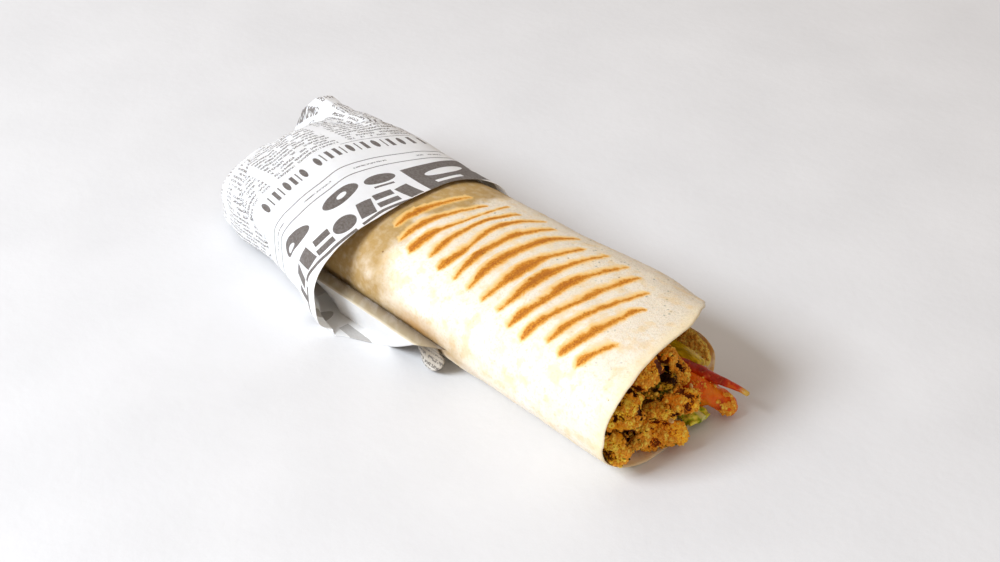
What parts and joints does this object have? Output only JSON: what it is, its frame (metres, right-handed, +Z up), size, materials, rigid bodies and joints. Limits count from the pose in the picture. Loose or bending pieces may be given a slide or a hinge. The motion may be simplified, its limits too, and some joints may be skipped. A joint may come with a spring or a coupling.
{
  "type": "falafel wrap",
  "caption": "Falafel wrap lying on its side: a rolled flatbread with falafel and salad at the open end, in a loose printed paper sleeve folded shut at the other end.",
  "frame": {"origin": "on the floor plane under the middle of the roll, at the centre of the flat underside of the flatbread between the paper sleeve and the open end", "axes": "+X along the roll towards the open end, +Y towards the far side where the outer flap of the flatbread ends, +Z up"},
  "size_m": [0.2377, 0.0943, 0.0434],
  "materials": {
    "flatbread": "matt baked wheat flatbread with grill marks",
    "newsprint": "matt white paper printed in grey ink",
    "falafel": "moist mashed falafel",
    "falafel_crumb": "crumbly golden fried falafel",
    "lettuce": "fresh leaf, slightly glossy",
    "tomato_flesh": "wet tomato flesh",
    "pickle": "wet pickled cucumber",
    "tomato_skin": "glossy tomato skin"
  },
  "bodies": {
    "root": {"tortilla": "flatbread", "paper_sleeve": "newsprint", "falafel_filling": "falafel", "falafel_golden_upper": "falafel_crumb", "falafel_golden_lower": "falafel_crumb", "falafel_golden_small": "falafel_crumb", "falafel_orange_slab": "falafel_crumb", "falafel_golden_middle": "falafel_crumb", "falafel_herb_layer": "falafel_crumb", "falafel_orange_upper": "falafel_crumb", "falafel_brown_upper": "falafel_crumb", "lettuce_leaf": "lettuce", "tomato_wedge": "tomato_flesh", "pickle_slice": "pickle", "tomato_strip": "tomato_skin"}
  },
  "joints": []
}
